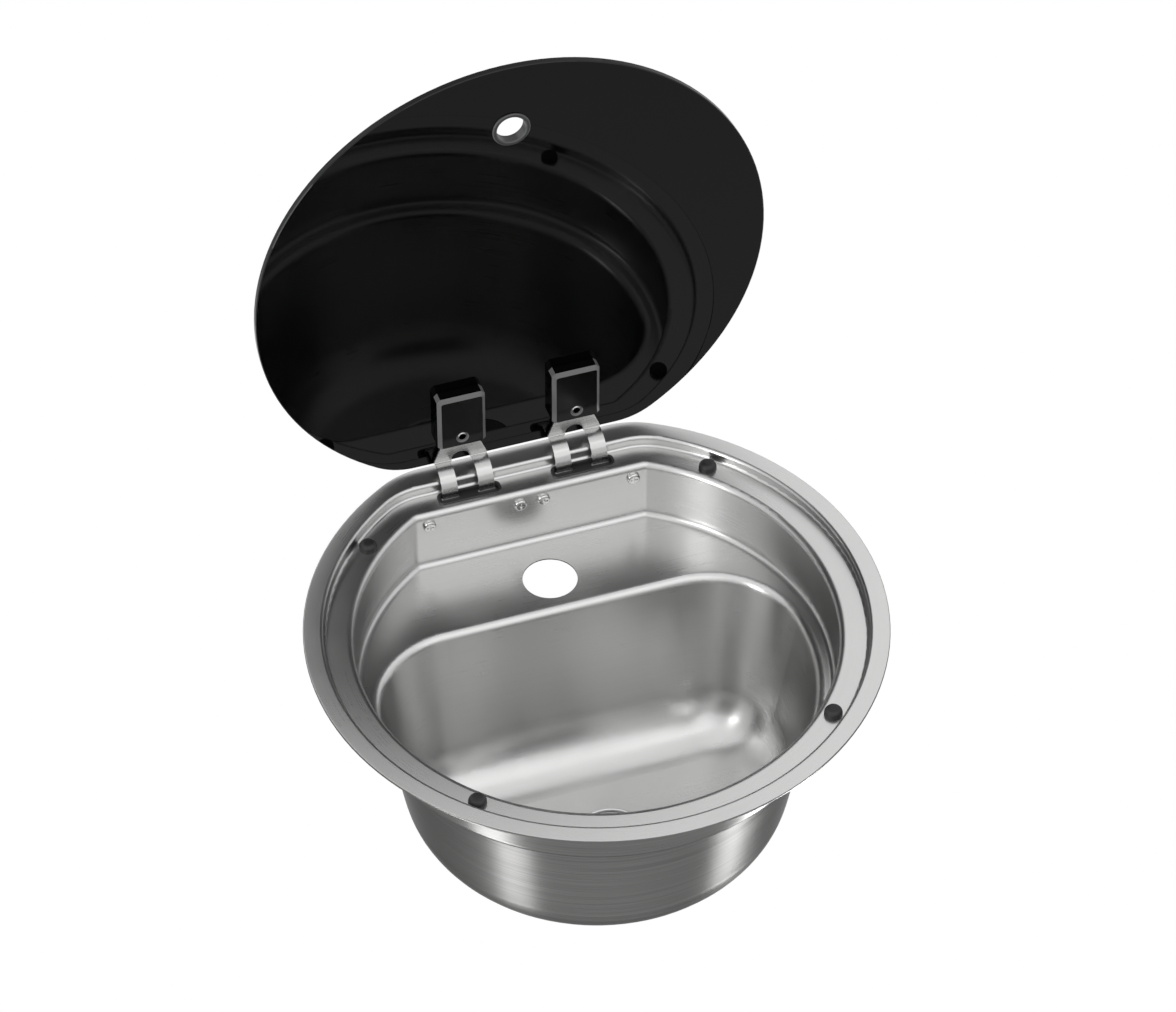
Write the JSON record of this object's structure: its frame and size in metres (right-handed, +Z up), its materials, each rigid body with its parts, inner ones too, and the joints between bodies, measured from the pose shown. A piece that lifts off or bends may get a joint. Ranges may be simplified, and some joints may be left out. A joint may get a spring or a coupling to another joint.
{
  "type": "sink with glass lid",
  "caption": "Round drop-in steel sink with a deep D-shaped bowl, tap ledge and waste; a dark glass lid hinges at the straight back and stands open.",
  "frame": {"origin": "centre of the round rim, in the plane of the worktop, where the rim's seal rests", "axes": "+X right seen from the user, +Y back towards the hinges and the straight side, +Z up"},
  "size_m": [0.4, 0.3844, 0.5848],
  "materials": {
    "pressed_steel": "satin, fine grain",
    "hinge_steel": "satin, bent strip",
    "fastener_steel": "bright, turned",
    "dark_glass": "polished, tempered, opaque black",
    "ring_plastic": "satin",
    "holder_plastic": "gloss",
    "insert_plastic": "satin",
    "bush_plastic": "smooth",
    "black_rubber": "matt",
    "waste_plastic": "smooth moulded"
  },
  "bodies": {
    "sink": {"sink_bowl": "pressed_steel", "rim_seal": "black_rubber", "hinge_base_left": "hinge_steel", "hinge_base_right": "hinge_steel", "hinge_pin_left": "fastener_steel", "hinge_pin_right": "fastener_steel", "pin_clip_left": "fastener_steel", "pin_clip_right": "fastener_steel", "slot_insert_left": "insert_plastic", "slot_insert_right": "insert_plastic", "lid_bumper_back_left": "black_rubber", "lid_bumper_back_right": "black_rubber", "lid_bumper_front_left": "black_rubber", "lid_bumper_front_right": "black_rubber", "wall_screws": "fastener_steel", "wall_nuts": "fastener_steel", "waste_flange": "pressed_steel", "waste_screw": "fastener_steel", "waste_seal_upper": "black_rubber", "waste_seal_lower": "black_rubber", "waste_body": "waste_plastic"},
    "lid": {"lid_glass": "dark_glass", "finger_ring": "ring_plastic", "finger_ring_cap": "ring_plastic", "glass_holder_left": "holder_plastic", "glass_holder_right": "holder_plastic", "holder_bond_left": "black_rubber", "holder_bond_right": "black_rubber", "hinge_arm_left": "hinge_steel", "hinge_arm_right": "hinge_steel", "arm_bushes_left": "bush_plastic", "arm_bushes_right": "bush_plastic", "grub_screw_left": "fastener_steel", "grub_screw_right": "fastener_steel"}
  },
  "joints": [
    {"name": "lid_hinge", "type": "hinge", "parent": "sink", "child": "lid", "pos_m": [0, 0.172, -0.0064], "axis": [1, 0, 0], "range_deg": [0, 90]}
  ]
}
